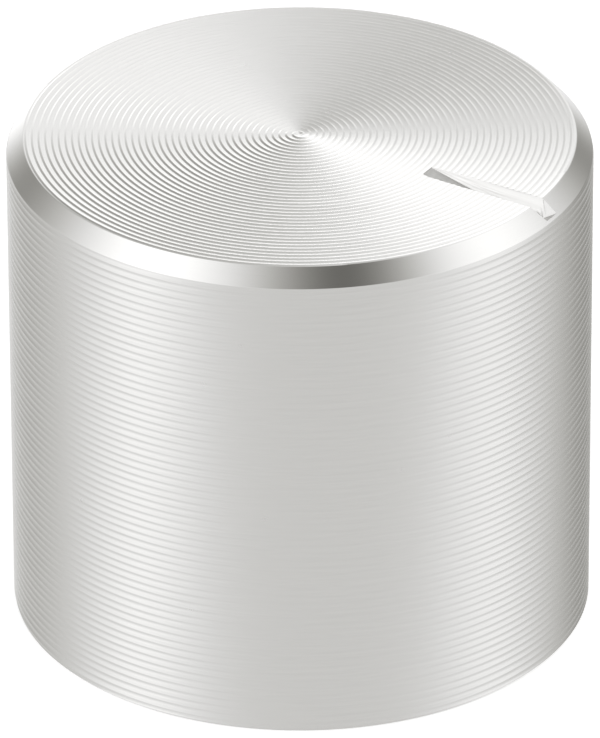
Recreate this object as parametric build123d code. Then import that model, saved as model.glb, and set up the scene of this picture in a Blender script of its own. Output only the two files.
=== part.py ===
from build123d import *
import os
from math import floor, radians, tan

# A control knob turned from one bar of aluminium, with a set screw that clamps it to its shaft.
# Sizes are in millimetres. +Z is up the shaft's axis and the origin is on that axis, in the plane
# of the foot that stands on the panel. The pointer notch lies along +X, and the set screw along -X.

# Outside of the turned body
knob_diameter = 22.0
knob_height = 19.5
edge_width = 0.65  # of the polished edge, measured along the face
edge_height = 0.70  # of the polished edge, measured down the side
foot_edge_break = 0.10  # of the corner that stands on the panel

# Rings that the facing tool cuts into the face, one beside the other from the middle outwards
ring_pitch = 0.25
ring_depth = 0.03
face_land = 0.08  # least width of the plain strip between the last ring and the polished edge

# Pointer notch, sunk by the rim of a disc cutter that stands over the rim of the face
notch_start = 5.60  # from the axis to where the cutter runs out of the face
notch_floor_width = 0.60
notch_depth = 0.62  # at the rim of the face, where the cutter is lowest
notch_flank_angle = 14.0  # of each flank, from the vertical
cutter_tooth_height = 1.50

# Blind bore for the shaft, and the recess round it that clears the panel nut
shaft_diameter = 6.00
shaft_clearance = 0.025  # all round the shaft
bore_length = 11.0  # of the full diameter, above the chamfer at its mouth
bore_mouth_chamfer = 0.30
drill_point_angle = 118.0
nut_recess_diameter = 14.0
nut_recess_depth = 4.5
nut_recess_edge_break = 0.25

# Set screw with a hexagon socket and a cup point, and the hole that it sits in
screw_diameter = 3.00
screw_clearance = 0.04  # all round the screw, where its thread and the hole's would mesh
screw_length = 5.00
screw_above_recess = 4.0  # from the recess's ceiling to the screw's axis
screw_backed_out = 0.30  # from the bore's wall to the screw's point
screw_hole_countersink = 0.25
screw_end_chamfer = 0.35
screw_cup_diameter = 1.40
screw_cup_angle = 120.0
socket_width = 1.50  # across the hexagon's flats
socket_depth = 1.80

# Places that follow from the sizes above
knob_radius = knob_diameter / 2
face_radius = knob_radius - edge_width
bore_radius = shaft_diameter / 2 + shaft_clearance
bore_start = nut_recess_depth + bore_mouth_chamfer
bore_end = bore_start + bore_length
recess_radius = nut_recess_diameter / 2
screw_height = nut_recess_depth + screw_above_recess
screw_hole_radius = screw_diameter / 2
screw_radius = screw_hole_radius - screw_clearance
overrun = 1.0  # how far a cutting shape stands out of what it cuts


def turned(section):
    """The solid that a closed section in the XZ plane makes when it turns about the Z axis."""
    with BuildPart() as solid:
        with BuildSketch(Plane.XZ):
            with BuildLine():
                Polyline(*section, close=True)
            make_face()
        revolve(axis=Axis.Z)
    return solid.part


def ringed_face():
    """Points of the face's section from the rim inwards: a crest, then the valley beside it, for each ring."""
    points = [(face_radius, knob_height)]
    for ring in range(floor((face_radius - face_land) / ring_pitch), 0, -1):
        points.append((ring * ring_pitch, knob_height))
        points.append(((ring - 0.5) * ring_pitch, knob_height - ring_depth))
    points.append((0, knob_height))
    return points


def turned_blank():
    """The bar once turned and faced, with its rings and its polished edge, before it is bored."""
    outside = [
        (0, 0),
        (knob_radius - foot_edge_break, 0),
        (knob_radius, foot_edge_break),
        (knob_radius, knob_height - edge_height),
    ]
    return turned(outside + ringed_face())


def bore_and_recess():
    """What boring from below takes out: the nut recess, the shaft's bore and the drill's point."""
    point_height = bore_radius / tan(radians(drill_point_angle / 2))
    return turned(
        [
            (0, -overrun),
            (recess_radius + nut_recess_edge_break + overrun, -overrun),
            (recess_radius, nut_recess_edge_break),
            (recess_radius, nut_recess_depth),
            (bore_radius + bore_mouth_chamfer, nut_recess_depth),
            (bore_radius, bore_start),
            (bore_radius, bore_end),
            (0, bore_end + point_height),
        ]
    )


def notch_cutter():
    """The disc cutter, with its axis across the notch and its lowest point over the rim of the face."""
    notch_length = face_radius - notch_start
    radius = (notch_length**2 + notch_depth**2) / (2 * notch_depth)
    root_radius = radius - cutter_tooth_height
    tip = notch_floor_width / 2
    root = tip + cutter_tooth_height * tan(radians(notch_flank_angle))
    disc = turned([(0, -root), (root_radius, -root), (radius, -tip), (radius, tip), (root_radius, root), (0, root)])
    return Pos(face_radius, 0, knob_height - notch_depth + radius) * Rot(90, 0, 0) * disc


def along_screw(solid, start):
    """A solid that was made along +Z from the origin, laid along -X from a point that far from the axis."""
    return Pos(-start, 0, screw_height) * Rot(0, -90, 0) * solid


def screw_hole():
    """The hole from the bore out through the side, with a countersink at its mouth."""
    mouth = knob_radius - bore_radius / 2
    countersink_start = mouth - screw_hole_countersink
    hole = turned(
        [
            (0, 0),
            (screw_hole_radius, 0),
            (screw_hole_radius, countersink_start),
            (screw_hole_radius + screw_hole_countersink + overrun, mouth + overrun),
            (0, mouth + overrun),
        ]
    )
    return along_screw(hole, bore_radius / 2)


def knob_body():
    """The finished body."""
    return turned_blank() - bore_and_recess() - notch_cutter() - screw_hole()


def set_screw():
    """The set screw, from its cup point outwards, with the socket in its outer end."""
    cup_radius = screw_cup_diameter / 2
    cup_depth = cup_radius / tan(radians(screw_cup_angle / 2))
    shank = turned(
        [
            (0, cup_depth),
            (cup_radius, 0),
            (screw_radius, screw_radius - cup_radius),
            (screw_radius, screw_length - screw_end_chamfer),
            (screw_radius - screw_end_chamfer, screw_length),
            (0, screw_length),
        ]
    )
    hexagon = RegularPolygon(socket_width / 2, 6, major_radius=False)
    socket = Pos(0, 0, screw_length - socket_depth) * extrude(hexagon, socket_depth + overrun)
    return along_screw(shank - socket, bore_radius + screw_backed_out)


os.makedirs("parts", exist_ok=True)
export_step(knob_body(), "parts/knob_body.step")
export_step(set_screw(), "parts/set_screw.step")
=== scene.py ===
"""Looks of a turned aluminium control knob with a milled pointer notch and a set screw.

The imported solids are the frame. Two pieces stand for them: the knob's body, with the spiral rings that
the facing and turning tools leave, and the set screw with its thread. Sizes are in millimetres in the
classes, and each mesh becomes metres when it is finished. Azimuths are counted in degrees from +X,
counter-clockwise seen from above, and elevations from the floor up.
"""

import logging
import math
from dataclasses import dataclass, field
from enum import IntEnum
from typing import Optional

import bmesh
import bpy
from mathutils import Matrix, Vector, noise


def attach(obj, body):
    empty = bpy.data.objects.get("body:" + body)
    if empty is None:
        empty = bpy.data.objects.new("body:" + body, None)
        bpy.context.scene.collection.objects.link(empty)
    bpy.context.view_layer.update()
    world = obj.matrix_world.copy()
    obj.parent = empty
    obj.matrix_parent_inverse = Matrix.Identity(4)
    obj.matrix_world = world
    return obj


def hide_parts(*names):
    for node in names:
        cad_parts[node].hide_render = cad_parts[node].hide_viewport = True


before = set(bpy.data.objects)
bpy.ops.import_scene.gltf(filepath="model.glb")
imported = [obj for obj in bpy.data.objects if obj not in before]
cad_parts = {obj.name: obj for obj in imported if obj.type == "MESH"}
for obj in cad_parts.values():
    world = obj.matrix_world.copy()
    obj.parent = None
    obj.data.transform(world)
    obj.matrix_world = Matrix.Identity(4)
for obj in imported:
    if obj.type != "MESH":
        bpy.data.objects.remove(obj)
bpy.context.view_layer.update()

log = logging.getLogger("knob")

MM = 0.001
TURN = 2.0 * math.pi
WELD = 1e-5  # mm, under which two points are one
SHARP_ANGLE = math.radians(28.0)
LINE_ANGLE = math.radians(5.0)
NICK_PLACES = 3600.0  # in a metre

Point = tuple[float, float]


class Surface(IntEnum):
    """How a surface was cut, which is also the place of its finish in a piece's list of materials."""

    RINGED = 0
    POLISHED = 1
    BORED = 2
    MILLED = 3
    TAPPED = 4
    RAMP = 5


# Sections that are spun about Z


@dataclass(frozen=True)
class Line:
    """A straight line in the section plane that ends a cut.

    Args:
        start: One point of it, as (radius, height).
        end: Another point. What is kept lies to the left of start to end.
    """

    start: Point
    end: Point

    def outside(self, point: Point) -> float:
        """How far a point lies beyond the line; negative where it is kept."""
        along_r = self.end[0] - self.start[0]
        along_z = self.end[1] - self.start[1]
        length = math.hypot(along_r, along_z)
        across = along_z * (point[0] - self.start[0]) - along_r * (point[1] - self.start[1])
        return across / length


@dataclass(frozen=True)
class Feed:
    """The regular path of a tool, whose marks move on by one pitch in each turn.

    Args:
        direction: Way of the feed in the section plane, as (radius, height).
        sink: Way into the metal in the section plane.
        pitch: Feed in one turn.
        trims: Lines at which later cuts end the marks.
        unevenness: Share by which the depth of cut varies along a mark.
        fade: Distance from the axis within which the marks die out, or 0.
        dip: Depth of the hollow that is left on the axis.
    """

    direction: Point
    sink: Point
    pitch: float
    trims: tuple[Line, ...]
    unevenness: float = 0.0
    fade: float = 0.0
    dip: float = 0.0


@dataclass
class Row:
    """One point of a section, which spinning turns into a ring or a turn of a helix.

    Args:
        r: Distance from the axis.
        z: Height.
        surface: How the surface from this row to the next one was cut.
        feed: The tool path that the row belongs to, if any.
        depth: How deep the tool cut here, under r and z.
        mark: Number of the tool mark, counted along the feed.
        sharp: Whether the row is a sharp crest or root of a mark.
    """

    r: float
    z: float
    surface: Surface
    feed: Optional[Feed] = None
    depth: float = 0.0
    mark: int = 0
    sharp: bool = False


def unevenness(mark: float, angle: float) -> float:
    """How the depth of cut varies along a tool mark.

    Args:
        mark: Place along the feed, in marks.
        angle: Angle about the axis, in radians.

    Returns:
        A smooth value of about -1 to 1 that doesn't jump where one mark joins the next.
    """
    around = Vector((math.cos(angle), math.sin(angle), 0.0))
    slow = noise.noise(around * 3.1 + Vector((0.0, 0.0, mark * 1.7)))
    quick = noise.noise(around * 17.0 + Vector((0.0, 0.0, mark * 5.3)))
    return slow + 0.8 * quick


def row_point(row: Row, share: float) -> Point:
    """Where a row is after a share of a turn, before any trim.

    Args:
        row: The row.
        share: Share of a full turn.

    Returns:
        Its (radius, height).
    """
    if row.feed is None:
        return row.r, row.z
    feed = row.feed
    step = feed.pitch * share
    r = row.r + feed.direction[0] * step
    z = row.z + feed.direction[1] * step
    depth = row.depth
    if feed.unevenness and depth:
        depth *= 1.0 + feed.unevenness * unevenness(row.mark + share, TURN * share)
    if feed.fade:
        if r <= 0.0:
            return 0.0, z - feed.dip
        share_out = min(r / feed.fade, 1.0)
        depth = depth * share_out + feed.dip * (1.0 - share_out) ** 2
    return r + feed.sink[0] * depth, z + feed.sink[1] * depth


def trimmed(points: list[Point], line: Line) -> list[Point]:
    """Draws the points that lie beyond a line back to where the section crosses it.

    Args:
        points: Points along one tool path, in order.
        line: The line that ends it.

    Returns:
        As many points, with those beyond the line all at the crossing.
    """
    beyond = [line.outside(point) for point in points]
    result = list(points)
    for order in (range(len(points) - 1), range(len(points) - 1, 0, -1)):
        step = 1 if order.step > 0 else -1
        for index in order:
            if beyond[index] > 0.0 >= beyond[index + step]:
                share = beyond[index] / (beyond[index] - beyond[index + step])
                crossing = (
                    points[index][0] + share * (points[index + step][0] - points[index][0]),
                    points[index][1] + share * (points[index + step][1] - points[index][1]),
                )
                clamped = range(0, index + 1) if step > 0 else range(index, len(points))
                for place in clamped:
                    result[place] = crossing
    return result


def section_at(rows: list[Row], share: float) -> list[Point]:
    """The whole section after a share of a turn.

    Args:
        rows: The section's rows in order.
        share: Share of a full turn.

    Returns:
        The rows' points, with each tool path trimmed at its lines.
    """
    points = [row_point(row, share) for row in rows]
    for feed in {id(row.feed): row.feed for row in rows if row.feed}.values():
        places = [index for index, row in enumerate(rows) if row.feed is feed]
        path = points[places[0] : places[-1] + 1]
        for line in feed.trims:
            path = trimmed(path, line)
        points[places[0] : places[-1] + 1] = path
    return points


def spun(rows: list[Row], steps: int) -> bmesh.types.BMesh:
    """Spins a section about Z and winds its fed rows.

    Each mark's end meets the next one's start, so the two ends of the spin are joined by merging their
    points once the rows are wound, and the mesh is closed.

    Args:
        rows: The section from the axis round to the axis again, all in the XZ plane.
        steps: Number of steps in the turn.

    Returns:
        The closed mesh, with each face's surface as its material index.
    """
    bm = bmesh.new()
    row_layer = bm.verts.layers.int.new("row")
    verts = [bm.verts.new((1.0, 0.0, float(index))) for index in range(len(rows))]
    for index, vert in enumerate(verts):
        vert[row_layer] = index
    edges = [bm.edges.new(pair) for pair in zip(verts, verts[1:])]
    bmesh.ops.spin(
        bm, geom=verts + edges, cent=(0, 0, 0), axis=(0, 0, 1), angle=TURN, steps=steps, use_merge=False
    )
    bm.verts.index_update()
    for face in bm.faces:
        face.material_index = rows[min(vert[row_layer] for vert in face.verts)].surface
        face.smooth = True
    for edge in bm.edges:
        first, second = (vert[row_layer] for vert in edge.verts)
        edge.smooth = not (first == second and rows[first].sharp)
    columns = [section_at(rows, column / steps) for column in range(steps + 1)]
    for vert in bm.verts:
        column = vert.index // len(rows)
        angle = TURN * column / steps
        r, z = columns[column][vert[row_layer]]
        vert.co = (r * math.cos(angle), r * math.sin(angle), z)
    bmesh.ops.remove_doubles(bm, verts=bm.verts, dist=WELD)
    bmesh.ops.recalc_face_normals(bm, faces=bm.faces)
    return bm


def mark_sharp_edges(bm: bmesh.types.BMesh) -> None:
    """Sets which edges shade sharp: crests between rings stay as they are, and corners are sharp.

    Args:
        bm: The mesh, whose faces have their surfaces as material indices.
    """
    for edge in bm.edges:
        if len(edge.link_faces) != 2:
            continue
        first, second = (face.material_index for face in edge.link_faces)
        pair = {first, second}
        if pair == {Surface.RINGED}:
            continue
        if pair == {Surface.RINGED, Surface.POLISHED}:
            edge.smooth = True
            continue
        limit = LINE_ANGLE if pair == {Surface.MILLED} else SHARP_ANGLE
        edge.smooth = edge.calc_face_angle(0.0) < limit and first == second


@dataclass(frozen=True)
class Groove:
    """Shape of the mark that a turning tool leaves in one turn.

    Args:
        depth: Depth of the groove under its crests.
        corners: Points from one crest towards the next as (share of the pitch, share of the depth, sharp).
        offset: Where the first crest stands on the +X side, as a share of the pitch.
    """

    depth: float
    corners: tuple[tuple[float, float, bool], ...]
    offset: float

    def rows(self, feed: Feed, first: int, last: int, base: Point, surface: Surface) -> list[Row]:
        """Rows of the grooves side by side along the feed.

        Args:
            feed: The tool path.
            first: Number of the first groove.
            last: Number of the crest that ends the last groove.
            base: Point from which the grooves are counted.
            surface: How the surface is cut.

        Returns:
            The rows in order along the feed.
        """
        rows: list[Row] = []
        for mark in range(first, last):
            for place, share, sharp in self.corners:
                along = (mark + place + self.offset) * feed.pitch
                r = base[0] + feed.direction[0] * along
                z = base[1] + feed.direction[1] * along
                rows.append(Row(r, z, surface, feed, self.depth * share, mark, sharp))
        return rows


# Shader node helpers


class Nodes:
    """Builds one node tree with short calls."""

    def __init__(self, tree: bpy.types.NodeTree) -> None:
        """Keeps the tree and empties it."""
        self.tree = tree
        tree.nodes.clear()

    def add(self, kind: str, values: Optional[dict] = None, **settings: object) -> bpy.types.Node:
        """Adds a node.

        Args:
            kind: Blender's name for the node.
            values: Inputs by name or place. A socket is linked, and anything else is set.
            settings: The node's own settings.

        Returns:
            The node.
        """
        node = self.tree.nodes.new(kind)
        for name, value in settings.items():
            setattr(node, name, value)
        for name, value in (values or {}).items():
            if isinstance(value, bpy.types.NodeSocket):
                self.tree.links.new(value, node.inputs[name])
            else:
                node.inputs[name].default_value = value
        return node

    def math(
        self, operation: str, first: object, second: object = None, third: object = None
    ) -> bpy.types.NodeSocket:
        """Adds a Math node and returns its value."""
        values = {place: value for place, value in enumerate((first, second, third)) if value is not None}
        return self.add("ShaderNodeMath", values, operation=operation).outputs[0]

    def vector(self, operation: str, first: object, second: object = None) -> bpy.types.NodeSocket:
        """Adds a Vector Math node and returns its vector, or its value for a dot product or a length."""
        values = {place: value for place, value in enumerate((first, second)) if value is not None}
        node = self.add("ShaderNodeVectorMath", values, operation=operation)
        return node.outputs["Value" if operation in ("DOT_PRODUCT", "LENGTH") else "Vector"]

    def span(
        self, value: object, low: float, high: float, to_low: float, to_high: float
    ) -> bpy.types.NodeSocket:
        """Adds a Map Range node from low..high to to_low..to_high, clamped, and returns its result."""
        values = {0: value, 1: low, 2: high, 3: to_low, 4: to_high}
        return self.add("ShaderNodeMapRange", values).outputs[0]


def node_group(
    name: str, inputs: dict[str, str], outputs: dict[str, str]
) -> tuple[bpy.types.NodeTree, Nodes]:
    """Starts a shader node group with named sockets.

    Args:
        name: Name of the group.
        inputs: Socket types by name.
        outputs: Socket types by name.

    Returns:
        The group and the builder of its nodes.
    """
    tree = bpy.data.node_groups.new(name, "ShaderNodeTree")
    nodes = Nodes(tree)
    for label, kind in inputs.items():
        tree.interface.new_socket(label, in_out="INPUT", socket_type=kind)
    for label, kind in outputs.items():
        tree.interface.new_socket(label, in_out="OUTPUT", socket_type=kind)
    return tree, nodes


def tool_marks_group() -> bpy.types.NodeTree:
    """The fine lines that a cutting edge draws round the axis.

    Returns:
        The group. Its Position is in metres from the axis, which is Z, Across is the number of lines in a
        metre, and Along says how often a line changes in a turn. Marks is from 0 to 1.
    """
    tree, nodes = node_group(
        "tool_marks",
        {"Position": "NodeSocketVector", "Across": "NodeSocketFloat", "Along": "NodeSocketFloat"},
        {"Marks": "NodeSocketFloat"},
    )
    given = nodes.add("NodeGroupInput").outputs
    parts = nodes.add("ShaderNodeSeparateXYZ", {0: given["Position"]}).outputs
    flat = nodes.add("ShaderNodeCombineXYZ", {0: parts[0], 1: parts[1], 2: 0.0}).outputs[0]
    around = nodes.add("ShaderNodeSeparateXYZ", {0: nodes.vector("NORMALIZE", flat)}).outputs
    place = nodes.add(
        "ShaderNodeCombineXYZ",
        {
            0: nodes.math("MULTIPLY", around[0], given["Along"]),
            1: nodes.math("MULTIPLY", around[1], given["Along"]),
            2: nodes.math("MULTIPLY", nodes.vector("LENGTH", flat), given["Across"]),
        },
    ).outputs[0]
    lines = nodes.add(
        "ShaderNodeTexNoise",
        {
            "Vector": place,
            "W": nodes.math("MULTIPLY", parts[2], given["Across"]),
            "Scale": 1.0,
            "Detail": 2.0,
            "Roughness": 0.6,
        },
        noise_dimensions="4D",
    )
    nodes.add("NodeGroupOutput", {0: lines.outputs[0]})
    return tree


def straight_marks_group() -> bpy.types.NodeTree:
    """The fine lines of a cut that runs along X.

    Returns:
        The group, with the same sockets as the tool marks. Along is the number of changes in 10 mm.
    """
    tree, nodes = node_group(
        "straight_marks",
        {"Position": "NodeSocketVector", "Across": "NodeSocketFloat", "Along": "NodeSocketFloat"},
        {"Marks": "NodeSocketFloat"},
    )
    given = nodes.add("NodeGroupInput").outputs
    run = nodes.math("MULTIPLY", given["Along"], 100.0)
    scale = nodes.add("ShaderNodeCombineXYZ", {0: run, 1: given["Across"], 2: given["Across"]}).outputs[0]
    place = nodes.vector("MULTIPLY", given["Position"], scale)
    values = {"Vector": place, "Scale": 1.0, "Detail": 2.0, "Roughness": 0.6}
    lines = nodes.add("ShaderNodeTexNoise", values)
    nodes.add("NodeGroupOutput", {0: lines.outputs[0]})
    return tree


def nicks_group() -> bpy.types.NodeTree:
    """Small bright specks and dents from chips and handling.

    Returns:
        The group. Size is the number of places in a metre, and Share is how many of them are struck,
        from 0 to 1.
        Nicks is 1 in a nick and 0 elsewhere.
    """
    tree, nodes = node_group(
        "nicks",
        {"Position": "NodeSocketVector", "Size": "NodeSocketFloat", "Share": "NodeSocketFloat"},
        {"Nicks": "NodeSocketFloat"},
    )
    given = nodes.add("NodeGroupInput").outputs
    cells = nodes.add(
        "ShaderNodeTexVoronoi", {"Vector": given["Position"], "Scale": given["Size"], "Randomness": 1.0}
    ).outputs
    struck = nodes.add("ShaderNodeSeparateColor", {0: cells["Color"]}).outputs[0]
    near = nodes.span(cells["Distance"], 0.05, 0.35, 1.0, 0.0)
    chosen = nodes.math("LESS_THAN", struck, given["Share"])
    nodes.add("NodeGroupOutput", {0: nodes.math("MULTIPLY", near, chosen)})
    return tree


@dataclass
class MarkGroups:
    """The node groups that the finishes share."""

    turned: bpy.types.NodeTree = field(default_factory=tool_marks_group)
    straight: bpy.types.NodeTree = field(default_factory=straight_marks_group)
    nicks: bpy.types.NodeTree = field(default_factory=nicks_group)


@dataclass(frozen=True)
class MetalFinish:
    """A cut or polished metal surface.

    Args:
        name: Name of its material.
        colour: Colour of the metal, linear.
        roughness: Roughness between the tool's lines.
        anisotropy: How much wider the gloss spreads across the lines than along them.
        rougher: How much roughness the lines add.
        darker: Share of light that the lines lose.
        lines_per_mm: Number of lines in a millimetre.
        changes: How often a line changes in a turn.
        line_depth: Depth of the lines, in mm.
        nick_share: Share of places with a nick.
        axis_height: Height of the axis of a piece whose axis is along X, in mm, or None for the knob's
            own axis.
        straight: Whether the lines run along X and not round the axis.
    """

    name: str
    colour: tuple[float, float, float]
    roughness: float
    anisotropy: float
    rougher: float
    darker: float
    lines_per_mm: float
    changes: float
    line_depth: float
    nick_share: float = 0.0
    axis_height: Optional[float] = None
    straight: bool = False

    def position(self, nodes: Nodes) -> bpy.types.NodeSocket:
        """The place on the piece, measured from the axis that its lines run round."""
        place = nodes.add("ShaderNodeTexCoord").outputs["Object"]
        if self.axis_height is None:
            return place
        values = {
            "Vector": place,
            "Location": (self.axis_height * MM, 0.0, 0.0),
            "Rotation": (0.0, math.pi / 2, 0.0),
        }
        return nodes.add("ShaderNodeMapping", values).outputs[0]

    def build(self, groups: "MarkGroups") -> bpy.types.Material:
        """Makes the material.

        Args:
            groups: The node groups of marks.

        Returns:
            The material.
        """
        material = bpy.data.materials.new(self.name)
        material.use_nodes = True
        nodes = Nodes(material.node_tree)
        place = self.position(nodes)
        run = {"Position": place, "Across": self.lines_per_mm / MM, "Along": self.changes}
        marks = groups.straight if self.straight else groups.turned
        lines = nodes.add("ShaderNodeGroup", run, node_tree=marks)
        struck = {"Position": place, "Size": NICK_PLACES, "Share": self.nick_share}
        spots = nodes.add("ShaderNodeGroup", struck, node_tree=groups.nicks)
        tone = nodes.span(lines.outputs[0], 0.3, 0.75, 1.0 - self.darker, 1.0)
        colour = nodes.add(
            "ShaderNodeMix",
            {"A": (0.0, 0.0, 0.0, 1.0), "Factor": tone},
            data_type="RGBA",
        )
        colour.inputs[7].default_value = (*self.colour, 1.0)
        rough = nodes.span(lines.outputs[0], 0.3, 0.75, self.roughness + self.rougher, self.roughness)
        rough = nodes.math("ADD", rough, nodes.math("MULTIPLY", spots.outputs[0], 0.15))
        height = nodes.math("SUBTRACT", lines.outputs[0], nodes.math("MULTIPLY", spots.outputs[0], 2.0))
        bump = nodes.add(
            "ShaderNodeBump", {"Height": height, "Strength": 1.0, "Distance": self.line_depth * MM}
        ).outputs[0]
        shader = nodes.add(
            "ShaderNodeBsdfPrincipled",
            {
                "Base Color": colour.outputs[2],
                "Metallic": 1.0,
                "Roughness": rough,
                "Anisotropic": self.anisotropy,
                "Anisotropic Rotation": 0.25,
                "Normal": bump,
                "Tangent": self.tangent(nodes),
            },
        ).outputs[0]
        nodes.add("ShaderNodeOutputMaterial", {0: shader})
        return material

    def tangent(self, nodes: Nodes) -> bpy.types.NodeSocket:
        """The way round the axis at each point."""
        axis = "Z" if self.axis_height is None else "X"
        return nodes.add("ShaderNodeTangent", None, direction_type="RADIAL", axis=axis).outputs[0]


# The object


ALUMINIUM = (0.885, 0.88, 0.868)
DULL_ALUMINIUM = (0.68, 0.675, 0.66)
MILLED_ALUMINIUM = (0.80, 0.795, 0.785)
STEEL = (0.56, 0.555, 0.55)

BODY_FINISHES = (
    MetalFinish("ringed_aluminium", ALUMINIUM, 0.21, 0.65, 0.05, 0.03, 26.0, 9.0, 0.0006, 0.003),
    MetalFinish("polished_aluminium", ALUMINIUM, 0.16, 0.0, 0.02, 0.02, 30.0, 5.0, 0.0001, 0.002),
    MetalFinish("bored_aluminium", ALUMINIUM, 0.30, 0.5, 0.10, 0.10, 16.0, 5.0, 0.0020),
    MetalFinish(
        "milled_aluminium", MILLED_ALUMINIUM, 0.26, 0.0, 0.08, 0.04, 28.0, 3.0, 0.0010, straight=True
    ),
    MetalFinish("tapped_aluminium", ALUMINIUM, 0.32, 0.3, 0.08, 0.10, 20.0, 5.0, 0.0010, 0.0, 8.5),
    MetalFinish("ramp_aluminium", DULL_ALUMINIUM, 0.50, 0.0, 0.10, 0.12, 14.0, 60.0, 0.0020, straight=True),
)
SCREW_FINISH = MetalFinish("screw_steel", STEEL, 0.30, 0.3, 0.10, 0.12, 22.0, 5.0, 0.0010, 0.0, 8.5)


def object_from(bm: bmesh.types.BMesh, name: str, materials: list[bpy.types.Material]) -> bpy.types.Object:
    """Turns a mesh in millimetres into an object in metres that sits at the origin.

    Args:
        bm: The mesh, which is freed.
        name: Name of the object.
        materials: Its materials, in the order of the surfaces.

    Returns:
        The object.
    """
    bmesh.ops.scale(bm, vec=(MM, MM, MM), verts=bm.verts)
    mesh = bpy.data.meshes.new(name)
    bm.to_mesh(mesh)
    bm.free()
    for material in materials:
        mesh.materials.append(material)
    piece = bpy.data.objects.new(name, mesh)
    bpy.context.scene.collection.objects.link(piece)
    return piece


def cut(piece: bpy.types.Object, cutters: list[bpy.types.Object]) -> None:
    """Takes the cutters' shapes out of a piece and deletes the cutters.

    Args:
        piece: The piece, whose mesh is replaced by the cut one.
        cutters: Closed objects with the same list of materials.
    """
    for cutter in cutters:
        modifier = piece.modifiers.new(cutter.name, "BOOLEAN")
        modifier.operation = "DIFFERENCE"
        modifier.solver = "EXACT"
        modifier.material_mode = "INDEX"
        modifier.object = cutter
    whole = piece.data
    graph = bpy.context.evaluated_depsgraph_get()
    piece.data = bpy.data.meshes.new_from_object(piece.evaluated_get(graph), depsgraph=graph)
    piece.data.name = piece.name
    piece.modifiers.clear()
    bpy.data.meshes.remove(whole)
    for cutter in cutters:
        mesh = cutter.data
        bpy.data.objects.remove(cutter)
        bpy.data.meshes.remove(mesh)
    bm = bmesh.new()
    bm.from_mesh(piece.data)
    bmesh.ops.remove_doubles(bm, verts=bm.verts, dist=WELD * MM)
    bmesh.ops.dissolve_degenerate(bm, edges=bm.edges, dist=WELD * MM)
    mark_sharp_edges(bm)
    bm.to_mesh(piece.data)
    bm.free()


@dataclass
class Thread:
    """A metric thread about an axis that points out of the knob's side."""

    pitch: float = 0.5
    depth: float = 0.27
    crest_share: float = 0.125
    root_share: float = 0.25
    steps: int = 64

    def rows(
        self, radius: float, first: float, last: float, trims: tuple[Line, ...], surface: Surface
    ) -> list[Row]:
        """Rows of the thread's section.

        Args:
            radius: Radius over the crests.
            first: Where the thread starts, along its axis.
            last: Where it ends.
            trims: Lines at its two ends.
            surface: How it was cut.

        Returns:
            The rows, which overrun both ends by up to a turn.
        """
        feed = Feed((0.0, 1.0), (-1.0, 0.0), self.pitch, trims)
        half_crest = self.crest_share / 2
        half_root = self.root_share / 2
        crest = ((-half_crest, 0.0), (half_crest, 0.0))
        root = ((0.5 - half_root, self.depth), (0.5 + half_root, self.depth))
        corners = crest + root
        rows = []
        for turn in range(math.floor(first / self.pitch) - 2, math.ceil(last / self.pitch) + 2):
            for share, depth in corners:
                rows.append(Row(radius, (turn + share) * self.pitch, surface, feed, depth, turn))
        return rows


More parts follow.
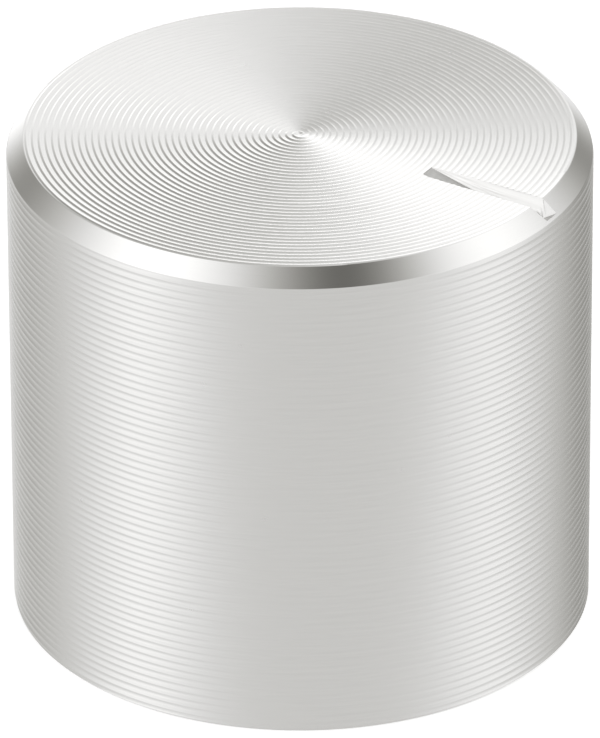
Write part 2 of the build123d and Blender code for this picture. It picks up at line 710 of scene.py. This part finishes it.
@dataclass
class SetScrew:
    """The set screw that clamps the knob to its shaft, with a cup point and a hexagon socket."""

    radius: float = 1.46
    length: float = 5.0
    start: float = 3.325
    height: float = 8.5
    end_chamfer: float = 0.35
    cup_radius: float = 0.70
    cup_angle: float = 120.0
    socket_width: float = 1.5
    socket_depth: float = 1.8
    socket_point: float = 0.25
    thread: Thread = field(default_factory=Thread)

    def laid(self) -> Matrix:
        """Turns a shape made along +Z to lie along -X at the screw's height."""
        return Matrix.Translation((0.0, 0.0, self.height)) @ Matrix.Rotation(-math.pi / 2, 4, "Y")

    def section(self) -> list[Row]:
        """The screw's section from its point outwards."""
        surface = Surface.RINGED
        tip, end = self.start, self.start + self.length
        cup_depth = self.cup_radius / math.tan(math.radians(self.cup_angle / 2))
        slope = self.radius - self.cup_radius
        point_cone = Line((self.cup_radius, tip), (self.radius, tip + slope))
        end_cone = Line((self.radius, end - self.end_chamfer), (self.radius - self.end_chamfer, end))
        rows = [Row(0.0, tip + cup_depth, surface), Row(self.cup_radius, tip, surface)]
        rows += self.thread.rows(self.radius, tip, end, (point_cone, end_cone), surface)
        rows += [Row(self.radius - self.end_chamfer, end, surface), Row(0.0, end, surface)]
        return rows

    def socket(self) -> bmesh.types.BMesh:
        """The hexagon socket with the cone that its drill left under it."""
        bm = bmesh.new()
        corner = self.socket_width / 2 / math.cos(math.pi / 6)
        depth = self.socket_depth + 1.0
        end = self.start + self.length
        bmesh.ops.create_cone(
            bm, cap_ends=True, cap_tris=False, segments=6, radius1=corner, radius2=corner, depth=depth,
            matrix=Matrix.Translation((0.0, 0.0, end - self.socket_depth + depth / 2)),
        )
        floor = min(bm.faces, key=lambda face: face.calc_center_median().z)
        poked = bmesh.ops.poke(bm, faces=[floor])
        for vert in poked["verts"]:
            vert.co.z -= self.socket_point
        for face in bm.faces:
            face.material_index = Surface.RINGED
        return bm

    def hole(self, clearance: float, inner: float, outer: float, countersink: float) -> bmesh.types.BMesh:
        """The tapped hole for the screw, as the shape that it takes out of the body.

        Args:
            clearance: Gap between the two threads.
            inner: Where the hole starts, measured from the knob's axis.
            outer: Where the knob's side is.
            countersink: Depth of the countersink at the mouth.

        Returns:
            The closed shape, laid in its place.
        """
        surface = Surface.TAPPED
        radius = self.radius + clearance
        wide = radius + countersink + 1.0
        far = outer + 1.0
        floor = Line((0.0, inner), (radius, inner))
        cone = Line((wide, far), (radius - 1.0, outer - countersink - 1.0))
        rows = [Row(0.0, inner, surface)]
        rows += self.thread.rows(radius, inner, outer - countersink, (floor, cone), surface)
        rows += [Row(wide, far, surface), Row(0.0, far, surface)]
        bm = spun(rows, self.thread.steps)
        bmesh.ops.transform(bm, matrix=self.laid(), verts=bm.verts)
        return bm

    def build(self, materials: list[bpy.types.Material]) -> bpy.types.Object:
        """Makes the screw.

        Args:
            materials: Its finish, alone in a list.

        Returns:
            The piece.
        """
        shank = spun(self.section(), self.thread.steps)
        socket = self.socket()
        for bm in (shank, socket):
            bmesh.ops.transform(bm, matrix=self.laid(), verts=bm.verts)
        mark = object_from(shank, "set_screw_piece", materials)
        cut(mark, [object_from(socket, "socket", materials)])
        bm = bmesh.new()
        bm.from_mesh(mark.data)
        for edge in bm.edges:
            edge.smooth = edge.calc_face_angle(0.0) < SHARP_ANGLE
        bm.to_mesh(mark.data)
        bm.free()
        return mark


def mix_points(first: Point, second: Point, share: float) -> Point:
    """The place at a share of the way from one point to another."""
    return (first[0] + share * (second[0] - first[0]), first[1] + share * (second[1] - first[1]))


@dataclass
class PointerNotch:
    """The notch that is milled from the face out through the polished edge.

    Its floor sinks from a square start, and both sides lean back. The far flank carries fine lines
    along the cut, and on the polished edge it turns into a flatter facet that ends in a point at the
    shoulder. Distances along the notch start at its start.
    """

    start: float = 5.60
    near_edge: float = 0.40
    far_edge: float = 0.44
    spread: float = 0.012
    narrowing: float = 0.10
    near_run: float = 0.15
    far_run: float = 0.6
    entry_depth: float = 0.036
    slope: float = 0.200
    easing: float = 0.0185
    near_angle: float = 30.0
    far_angle: float = 40.0
    facet_flare: float = 0.27
    facet_slope: float = 0.433
    raggedness: float = 0.035
    line_depth: float = 0.009
    full_line_depth: float = 0.3  # of the floor, from which the lines have their whole depth
    top: float = 0.6  # of the cutter, above the face
    step: float = 0.05
    floor_parts: int = 4
    flank_parts: int = 12
    facet_parts: int = 8

    def depth(self, along: float) -> float:
        """Depth of the floor under the plane of the face."""
        return self.entry_depth + along * (self.slope - self.easing * along)

    def torn(self, along: float, edge: float) -> float:
        """How far an edge is torn aside at a place along the notch, different for each edge."""
        return self.raggedness * noise.noise(Vector((along * 6.0, edge, 0.0)))

    def flank(self, far: float, surface_depth: float, depth: float) -> list[Point]:
        """The corners of the far flank in the section, from its foot up to the surface.

        Args:
            far: Where the flank's plane meets the plane of the face.
            surface_depth: Depth of the knob's own surface, under the plane of the face.
            depth: Depth of the floor, under the same plane.

        Returns:
            Foot, bend and edge, as (across, height above the plane of the face). Where the flank is
            straight, the bend lies next to one of its ends.
        """
        rise = 1.0 / math.tan(math.radians(self.far_angle))
        foot = (far - depth / rise, -depth)
        if surface_depth <= 0.0:
            return [foot, mix_points(foot, (far, 0.0), 0.97), (far, 0.0)]
        edge = far + self.facet_flare * surface_depth
        meet = (far * rise - surface_depth - edge * self.facet_slope) / (rise - self.facet_slope)
        meet_depth = (far - meet) * rise
        if meet_depth < depth - 0.005:
            return [foot, (meet, -meet_depth), (edge, -surface_depth)]
        foot = (edge - (depth - surface_depth) / self.facet_slope, -depth)
        return [foot, mix_points(foot, (edge, -surface_depth), 0.03), (edge, -surface_depth)]

    def section(self, along: float, surface_depth: float) -> list[Point]:
        """The cutter's outline across the notch, closed above the face.

        Args:
            along: Distance from the start.
            surface_depth: Depth of the knob's own surface there, under the plane of the face.

        Returns:
            Points as (across, height above the plane of the face), near side first. Across grows away
            from the camera.
        """
        depth = self.depth(along)
        surface_depth = min(surface_depth, depth - 0.01)
        lean = math.tan(math.radians(self.near_angle))
        near = -self.near_edge - self.spread * along + self.narrowing * math.exp(-along / self.near_run)
        far = self.far_edge - self.narrowing * math.exp(-along / self.far_run)
        corners = self.flank(far, surface_depth, depth)
        near_foot = near + depth * lean
        foot = max(corners[0][0], near_foot + 0.02)
        corners[0] = (foot, -depth)
        rim = near + surface_depth * lean + self.torn(along, 3.0)
        points = [(rim, self.top), (rim, -surface_depth)]
        for part in range(self.floor_parts + 1):
            share = part / self.floor_parts
            points.append((near_foot + share * (foot - near_foot), -depth))
        for part in range(1, self.flank_parts + self.facet_parts):
            on_flank = part <= self.flank_parts
            first, second = corners[:2] if on_flank else corners[1:]
            share = part / self.flank_parts if on_flank else (part - self.flank_parts) / self.facet_parts
            across, rise = mix_points(first, second, share)
            wave = noise.noise(Vector((part * 2.7, along * 0.35, 5.0)))
            line = self.line_depth * min(depth / self.full_line_depth, 1.0) * wave
            points.append((across + line * 0.7, rise - line * 0.7))
        edge = corners[-1][0] + self.torn(along, 9.0)
        points += [(edge, -surface_depth), (edge, self.top)]
        return points

    def cutter(self, face_radius: float, height: float, edge_slope: float) -> bmesh.types.BMesh:
        """The shape that the notch takes out of the body.

        Args:
            face_radius: Radius of the face.
            height: Height of the face.
            edge_slope: How much the polished edge falls in each unit outwards.

        Returns:
            The closed shape, laid in its place.
        """
        bm = bmesh.new()
        corner_layer = bm.verts.layers.int.new("corner")
        length = face_radius - self.start
        columns = math.ceil((length + 1.0) / self.step)
        outlines = []
        for column in range(columns + 1):
            along = column * self.step
            surface_depth = max(along - length, 0.0) * edge_slope
            outline = self.section(along, surface_depth)
            x = self.start + along
            outlines.append([Vector((x, across, height + rise)) for across, rise in outline])
        ring = [bm.verts.new(point) for point in outlines[0]]
        for corner, vert in enumerate(ring):
            vert[corner_layer] = corner
        start = bm.faces.new(ring)
        edges = list(start.edges)
        for outline in outlines[1:]:
            grown = bmesh.ops.extrude_edge_only(bm, edges=edges)["geom"]
            edges = [item for item in grown if isinstance(item, bmesh.types.BMEdge)]
            for vert in (item for item in grown if isinstance(item, bmesh.types.BMVert)):
                vert.co = outline[vert[corner_layer]]
        bmesh.ops.contextual_create(bm, geom=edges)
        for face in bm.faces:
            corners = {vert[corner_layer] for vert in face.verts}
            on_floor = len(corners) == 2 and min(corners) >= 2 and max(corners) <= 2 + self.floor_parts
            face.material_index = Surface.RAMP if on_floor else Surface.MILLED
            face.smooth = True
        bmesh.ops.recalc_face_normals(bm, faces=bm.faces)
        return bm


@dataclass
class KnobBody:
    """The body turned from one bar, with its rings, polished edge, notch, shaft bore and screw hole."""

    radius: float = 11.0
    height: float = 19.5
    edge_width: float = 0.65
    edge_height: float = 0.70
    edge_round: float = 0.06
    foot_edge_break: float = 0.10
    face_pitch: float = 0.25
    side_pitch: float = 0.305
    centre_dip: float = 0.05
    centre_radius: float = 0.35
    bore_radius: float = 3.025
    bore_start: float = 4.8
    bore_end: float = 15.8
    bore_chamfer: float = 0.30
    drill_angle: float = 118.0
    recess_radius: float = 7.0
    recess_depth: float = 4.5
    recess_edge_break: float = 0.25
    steps: int = 256
    screw_clearance: float = 0.04
    screw_countersink: float = 0.25
    face_groove: Groove = Groove(0.034, ((0.0, 0.0, True), (0.3, 1.0, True), (0.6, 0.68, False)), 0.36)
    side_groove: Groove = Groove(
        0.033, ((0.0, 0.0, True), (0.333, 0.889, False), (0.667, 0.889, False)), 0.18
    )

    def edge_line(self) -> Line:
        """The cone of the polished edge, with the metal on its left."""
        face_rim = (self.radius - self.edge_width, self.height)
        shoulder = (self.radius, self.height - self.edge_height)
        return Line(shoulder, face_rim)

    def face_rows(self) -> list[Row]:
        """The ringed face from its middle to the polished edge."""
        feed = Feed(
            (1.0, 0.0), (0.0, -1.0), self.face_pitch, (self.edge_line(),),
            unevenness=0.05, fade=self.centre_radius, dip=self.centre_dip,
        )
        last = math.ceil((self.radius - self.edge_width) / self.face_pitch) + 2
        rows = self.face_groove.rows(feed, -2, last, (0.0, self.height), Surface.RINGED)
        rows[-1].surface = Surface.POLISHED
        return rows

    def edge_rows(self) -> list[Row]:
        """The polished edge, with a narrow strip at each end over which its corners look rounded."""
        share = self.edge_round / math.hypot(self.edge_width, self.edge_height)
        rows = []
        for place in (share, 1.0 - share):
            r = self.radius - self.edge_width * (1.0 - place)
            rows.append(Row(r, self.height - self.edge_height * place, Surface.POLISHED))
        return rows

    def side_rows(self) -> list[Row]:
        """The ringed side from the polished edge down to the foot."""
        foot = Line((self.radius - self.foot_edge_break, 0.0), (self.radius, self.foot_edge_break))
        feed = Feed((0.0, 1.0), (-1.0, 0.0), self.side_pitch, (self.edge_line(), foot), unevenness=0.15)
        last = math.ceil((self.height - self.edge_height) / self.side_pitch) + 2
        rows = self.side_groove.rows(feed, -2, last, (self.radius, 0.0), Surface.RINGED)
        rows.reverse()
        rows[-1].surface = Surface.BORED
        return rows

    def inside_rows(self) -> list[Row]:
        """The foot, the nut recess and the shaft bore, up to the drill's point."""
        surface = Surface.BORED
        recess_edge = self.recess_radius + self.recess_edge_break
        point = self.bore_radius / math.tan(math.radians(self.drill_angle / 2))
        corners = [
            (self.radius - self.foot_edge_break, 0.0),
            (recess_edge, 0.0),
            (self.recess_radius, self.recess_edge_break),
            (self.recess_radius, self.recess_depth),
            (self.bore_radius + self.bore_chamfer, self.recess_depth),
            (self.bore_radius, self.bore_start),
            (self.bore_radius, self.bore_end),
            (0.0, self.bore_end + point),
        ]
        return [Row(r, z, surface) for r, z in corners]

    def build(
        self, notch: PointerNotch, screw: SetScrew, materials: list[bpy.types.Material]
    ) -> bpy.types.Object:
        """Makes the body.

        Args:
            notch: The pointer notch to mill.
            screw: The screw whose hole is tapped.
            materials: A finish for each kind of surface.

        Returns:
            The piece.
        """
        bm = spun(self.face_rows() + self.edge_rows() + self.side_rows() + self.inside_rows(), self.steps)
        mark_sharp_edges(bm)
        body = object_from(bm, "knob_body_piece", materials)
        edge_slope = self.edge_height / self.edge_width
        milled = notch.cutter(self.radius - self.edge_width, self.height, edge_slope)
        tapped = screw.hole(self.screw_clearance, self.bore_radius / 2, self.radius, self.screw_countersink)
        cut(body, [object_from(milled, "notch", materials), object_from(tapped, "tapped_hole", materials)])
        return body


# Stage, light and camera


@dataclass(frozen=True)
class Panel:
    """A soft patch of the studio seen in the metal: a light box, or a black card that shades it.

    Args:
        azimuth: Direction from the knob, in degrees to the right of the camera's own right.
        elevation: Height above the floor, in degrees.
        level: Light that it adds, or takes away where it is negative.
        tightness: How quickly it falls off to its sides.
    """

    azimuth: float
    elevation: float
    level: float
    tightness: float


@dataclass(frozen=True)
class Studio:
    """A plain pale floor under a white surround with soft panels."""

    heading: float = 32.3  # degrees from the part's +X to the camera's right, about Z
    base: float = 0.66
    floor_lift: float = 0.50
    dim_colour: tuple[float, float, float, float] = (1.02, 1.0, 0.915, 1.0)
    left_box: Panel = Panel(-155.0, 35.0, 0.8, 8.0)  # bright front left of the polished edge
    left_table: Panel = Panel(-155.0, -25.0, 0.45, 12.0)  # streak left of the middle of the side wall
    right_box: Panel = Panel(-10.0, 30.0, 0.6, 8.0)  # bright front right of the edge
    right_table: Panel = Panel(-12.0, -25.0, 0.35, 14.0)  # streak right of the middle
    back_box: Panel = Panel(95.0, 0.0, 1.2, 12.0)  # bright back left of the face
    high_box: Panel = Panel(60.0, 50.0, 0.6, 10.0)  # bright front right of the face
    front_card: Panel = Panel(-65.0, 55.0, -0.6, 10.0)  # dark patch at the front of the polished edge
    high_card: Panel = Panel(125.0, 55.0, -0.4, 8.0)  # dark front left of the face
    right_card: Panel = Panel(55.0, -5.0, -0.5, 8.0)  # dark right end of the polished edge
    left_card: Panel = Panel(135.0, 5.0, -0.4, 8.0)  # dark left end of it

    @property
    def panels(self) -> tuple[Panel, ...]:
        """The light boxes and the black cards."""
        front = (self.left_box, self.left_table, self.right_box, self.right_table)
        back = (self.back_box, self.high_box)
        cards = (self.front_card, self.high_card, self.right_card, self.left_card)
        return front + back + cards

    def direction(self, panel: Panel) -> Vector:
        """Unit vector to the middle of a panel, in the part's frame."""
        azimuth = math.radians(panel.azimuth + self.heading)
        elevation = math.radians(panel.elevation)
        flat = math.cos(elevation)
        return Vector((flat * math.cos(azimuth), flat * math.sin(azimuth), math.sin(elevation)))

    def build_world(self) -> None:
        """Makes the surround: white to the camera, and the panels in the metal and on the floor."""
        world = bpy.data.worlds.new("studio")
        bpy.context.scene.world = world
        world.use_nodes = True
        nodes = Nodes(world.node_tree)
        view = nodes.add("ShaderNodeTexCoord").outputs["Generated"]
        light: object = self.base
        for panel in self.panels:
            near = nodes.vector("DOT_PRODUCT", view, self.direction(panel))
            aside = nodes.math("SUBTRACT", near, 1.0)
            fall = nodes.math("EXPONENT", nodes.math("MULTIPLY", aside, panel.tightness))
            light = nodes.math("MULTIPLY_ADD", fall, panel.level, light)
        light = nodes.math("MAXIMUM", light, 0.03)
        seen = nodes.add("ShaderNodeLightPath").outputs["Is Camera Ray"]
        level = nodes.add("ShaderNodeMix", {0: seen, 2: light, 3: 1.0}, data_type="FLOAT").outputs[0]
        bright = nodes.span(level, 0.0, 0.8, 0.0, 1.0)
        colours = {0: bright, 6: self.dim_colour, 7: (1.0, 1.0, 1.0, 1.0)}
        tint = nodes.add("ShaderNodeMix", colours, data_type="RGBA").outputs[2]
        background = nodes.add("ShaderNodeBackground", {"Color": tint, "Strength": level}).outputs[0]
        nodes.add("ShaderNodeOutputWorld", {0: background})

    def build_floor(self) -> bpy.types.Object:
        """Makes the floor.

        Returns:
            The floor, a plain pale sheet in the plane of the foot.
        """
        bm = bmesh.new()
        bmesh.ops.create_grid(bm, x_segments=4, y_segments=4, size=2000.0)
        material = bpy.data.materials.new("pale_floor")
        material.use_nodes = True
        nodes = Nodes(material.node_tree)
        place = nodes.add("ShaderNodeTexCoord").outputs["Object"]
        grain = nodes.add("ShaderNodeTexNoise", {"Scale": 900.0, "Detail": 3.0, "Vector": place})
        tone = nodes.span(grain.outputs[0], 0.3, 0.7, 0.86, 0.90)
        sheet = nodes.add("ShaderNodeBsdfDiffuse", {"Color": tone}).outputs[0]
        rays = nodes.add("ShaderNodeLightPath").outputs
        share = nodes.math("MULTIPLY", rays["Is Camera Ray"], self.floor_lift)
        glow = {"Color": (1.0, 1.0, 1.0, 1.0), "Strength": share}
        white = nodes.add("ShaderNodeEmission", glow).outputs[0]
        mixed = nodes.add("ShaderNodeAddShader", {0: sheet, 1: white}).outputs[0]
        nodes.add("ShaderNodeOutputMaterial", {0: mixed})
        floor = object_from(bm, "floor", [material])
        floor.visible_glossy = False
        return floor


@dataclass(frozen=True)
class PhotoCamera:
    """The camera that sees the knob as the photograph does, in millimetres, degrees and pixels."""

    heading: float = 32.3
    distance: float = 403.65
    elevation: float = 30.264
    focal_pixels: float = 10533.92
    long_side: float = 738.0
    aim_right: float = -5.75325e-5  # radians
    aim_up: float = 0.0203633976  # radians
    roll: float = -0.00354419  # radians
    sensor: float = 36.0

    def build(self) -> bpy.types.Object:
        """Makes the camera and hands it to the scene.

        Returns:
            The camera.
        """
        elevation = math.radians(self.elevation)
        back = Vector((0.0, -math.cos(elevation), math.sin(elevation)))
        right = Vector((1.0, 0.0, 0.0))
        ahead = -back
        up = right.cross(ahead)
        aimed = ahead * math.cos(self.aim_right) + right * math.sin(self.aim_right)
        right = right * math.cos(self.aim_right) - ahead * math.sin(self.aim_right)
        ahead = aimed * math.cos(self.aim_up) + up * math.sin(self.aim_up)
        up = up * math.cos(self.aim_up) - aimed * math.sin(self.aim_up)
        across = right * math.cos(self.roll) + up * math.sin(self.roll)
        upright = up * math.cos(self.roll) - right * math.sin(self.roll)
        axes = Matrix((across, upright, -ahead)).transposed()
        turn = Matrix.Rotation(math.radians(self.heading), 4, "Z")
        lens = bpy.data.cameras.new("camera")
        lens.sensor_fit = "AUTO"
        lens.sensor_width = self.sensor
        lens.lens = self.focal_pixels * self.sensor / self.long_side
        lens.clip_start = 0.01
        camera = bpy.data.objects.new("camera", lens)
        bpy.context.scene.collection.objects.link(camera)
        camera.matrix_world = turn @ (Matrix.Translation(back * self.distance * MM) @ axes.to_4x4())
        bpy.context.scene.camera = camera
        return camera


def report(piece: bpy.types.Object, node: str) -> None:
    """Ties a piece to the frame and logs its size.

    Args:
        piece: The finished piece.
        node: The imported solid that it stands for.
    """
    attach(piece, "root")
    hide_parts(node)
    piece.data.calc_loop_triangles()
    log.info("%s stands for %s: %d triangles", piece.name, node, len(piece.data.loop_triangles))


def main() -> None:
    """Builds the knob, its screw, the stage and the camera."""
    logging.basicConfig(level=logging.INFO, format="%(name)s: %(message)s")
    bpy.context.scene.view_settings.view_transform = "Standard"
    groups = MarkGroups()
    screw = SetScrew()
    body_finishes = [finish.build(groups) for finish in BODY_FINISHES]
    body = KnobBody().build(PointerNotch(), screw, body_finishes)
    report(body, "knob_body")
    report(screw.build([SCREW_FINISH.build(groups)]), "set_screw")
    studio = Studio()
    studio.build_world()
    studio.build_floor()
    PhotoCamera().build()
    log.info("studio and camera stand")
    bpy.context.view_layer.update()


if __name__ == "__main__":
    main()
